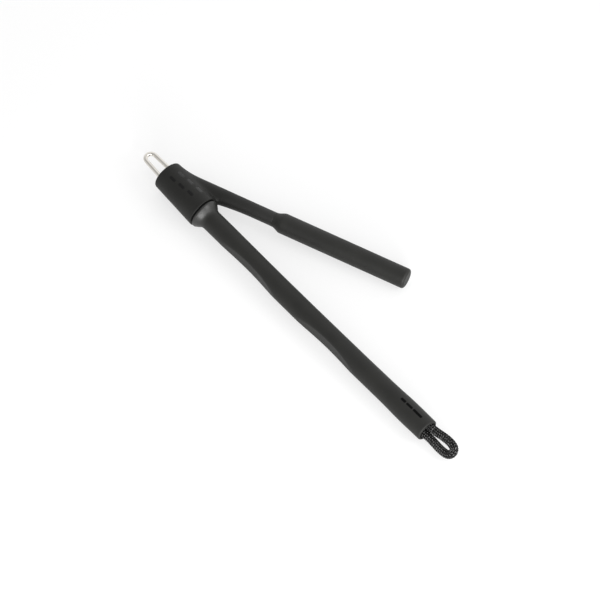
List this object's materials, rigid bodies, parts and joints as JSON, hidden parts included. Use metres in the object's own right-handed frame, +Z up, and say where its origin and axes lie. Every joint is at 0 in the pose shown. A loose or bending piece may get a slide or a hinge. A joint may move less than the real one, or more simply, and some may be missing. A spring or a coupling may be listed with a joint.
{
  "type": "winch handle",
  "caption": "Black forked hand lever with a polished steel eye on its head, a fixed side arm, and a long swivelling main grip that ends in a braided cord loop.",
  "frame": {"origin": "middle of the footprint, on the surface that the lever lies on", "axes": "+Z up from that surface; +X along the main grip from the steel eye to the cord loop, seen from above (the grip's own centre line drops 0.9 degrees along +X, because the head is thicker than the grip's end); +Y towards the side arm"},
  "size_m": [0.5554, 0.1546, 0.0415],
  "materials": {
    "soft_black": "soft-touch matt skin",
    "hard_black": "moulded, fine matt texture",
    "seal_rubber": "smooth matt",
    "polished_steel": "polished stainless steel",
    "plain_steel": "turned stainless steel",
    "tube_steel": "drawn stainless tube",
    "cast_aluminium": "cast, black anodised",
    "bearing_bronze": "turned bronze",
    "washer_plastic": "natural acetal",
    "braided_cord": "black braid with grey flecks"
  },
  "bodies": {
    "head": {"head_core": "cast_aluminium", "head_cover": "soft_black", "head_cap": "hard_black", "eye_seat": "bearing_bronze", "lower_bush": "bearing_bronze", "upper_bush": "bearing_bronze", "thrust_washer": "washer_plastic", "seam_seal": "seal_rubber", "side_tube": "tube_steel", "side_tube_pin": "plain_steel", "side_grip_core": "hard_black", "side_grip": "soft_black", "side_end_cap": "hard_black", "eye_washer": "washer_plastic"},
    "eye": {"eye_loop": "polished_steel", "eye_carrier": "plain_steel", "eye_nut": "plain_steel"},
    "main_grip": {"swivel_shaft": "plain_steel", "shaft_washer": "plain_steel", "shaft_nut": "plain_steel", "grip_tube": "tube_steel", "grip_tube_pin": "plain_steel", "shoulder_core": "hard_black", "grip_cover": "soft_black", "end_plug": "hard_black", "cord_pin": "plain_steel", "cord_loop": "braided_cord"}
  },
  "joints": [
    {"name": "grip_swivel", "type": "hinge", "parent": "head", "child": "main_grip", "pos_m": [-0.14686, -0.05655, 0.02074], "axis": [0.9999, 0, -0.0156], "continuous": true},
    {"name": "eye_swivel", "type": "hinge", "parent": "head", "child": "eye", "pos_m": [-0.20783, -0.05474, 0.02162], "axis": [0.9995, -0.0296, -0.0145], "continuous": true}
  ]
}
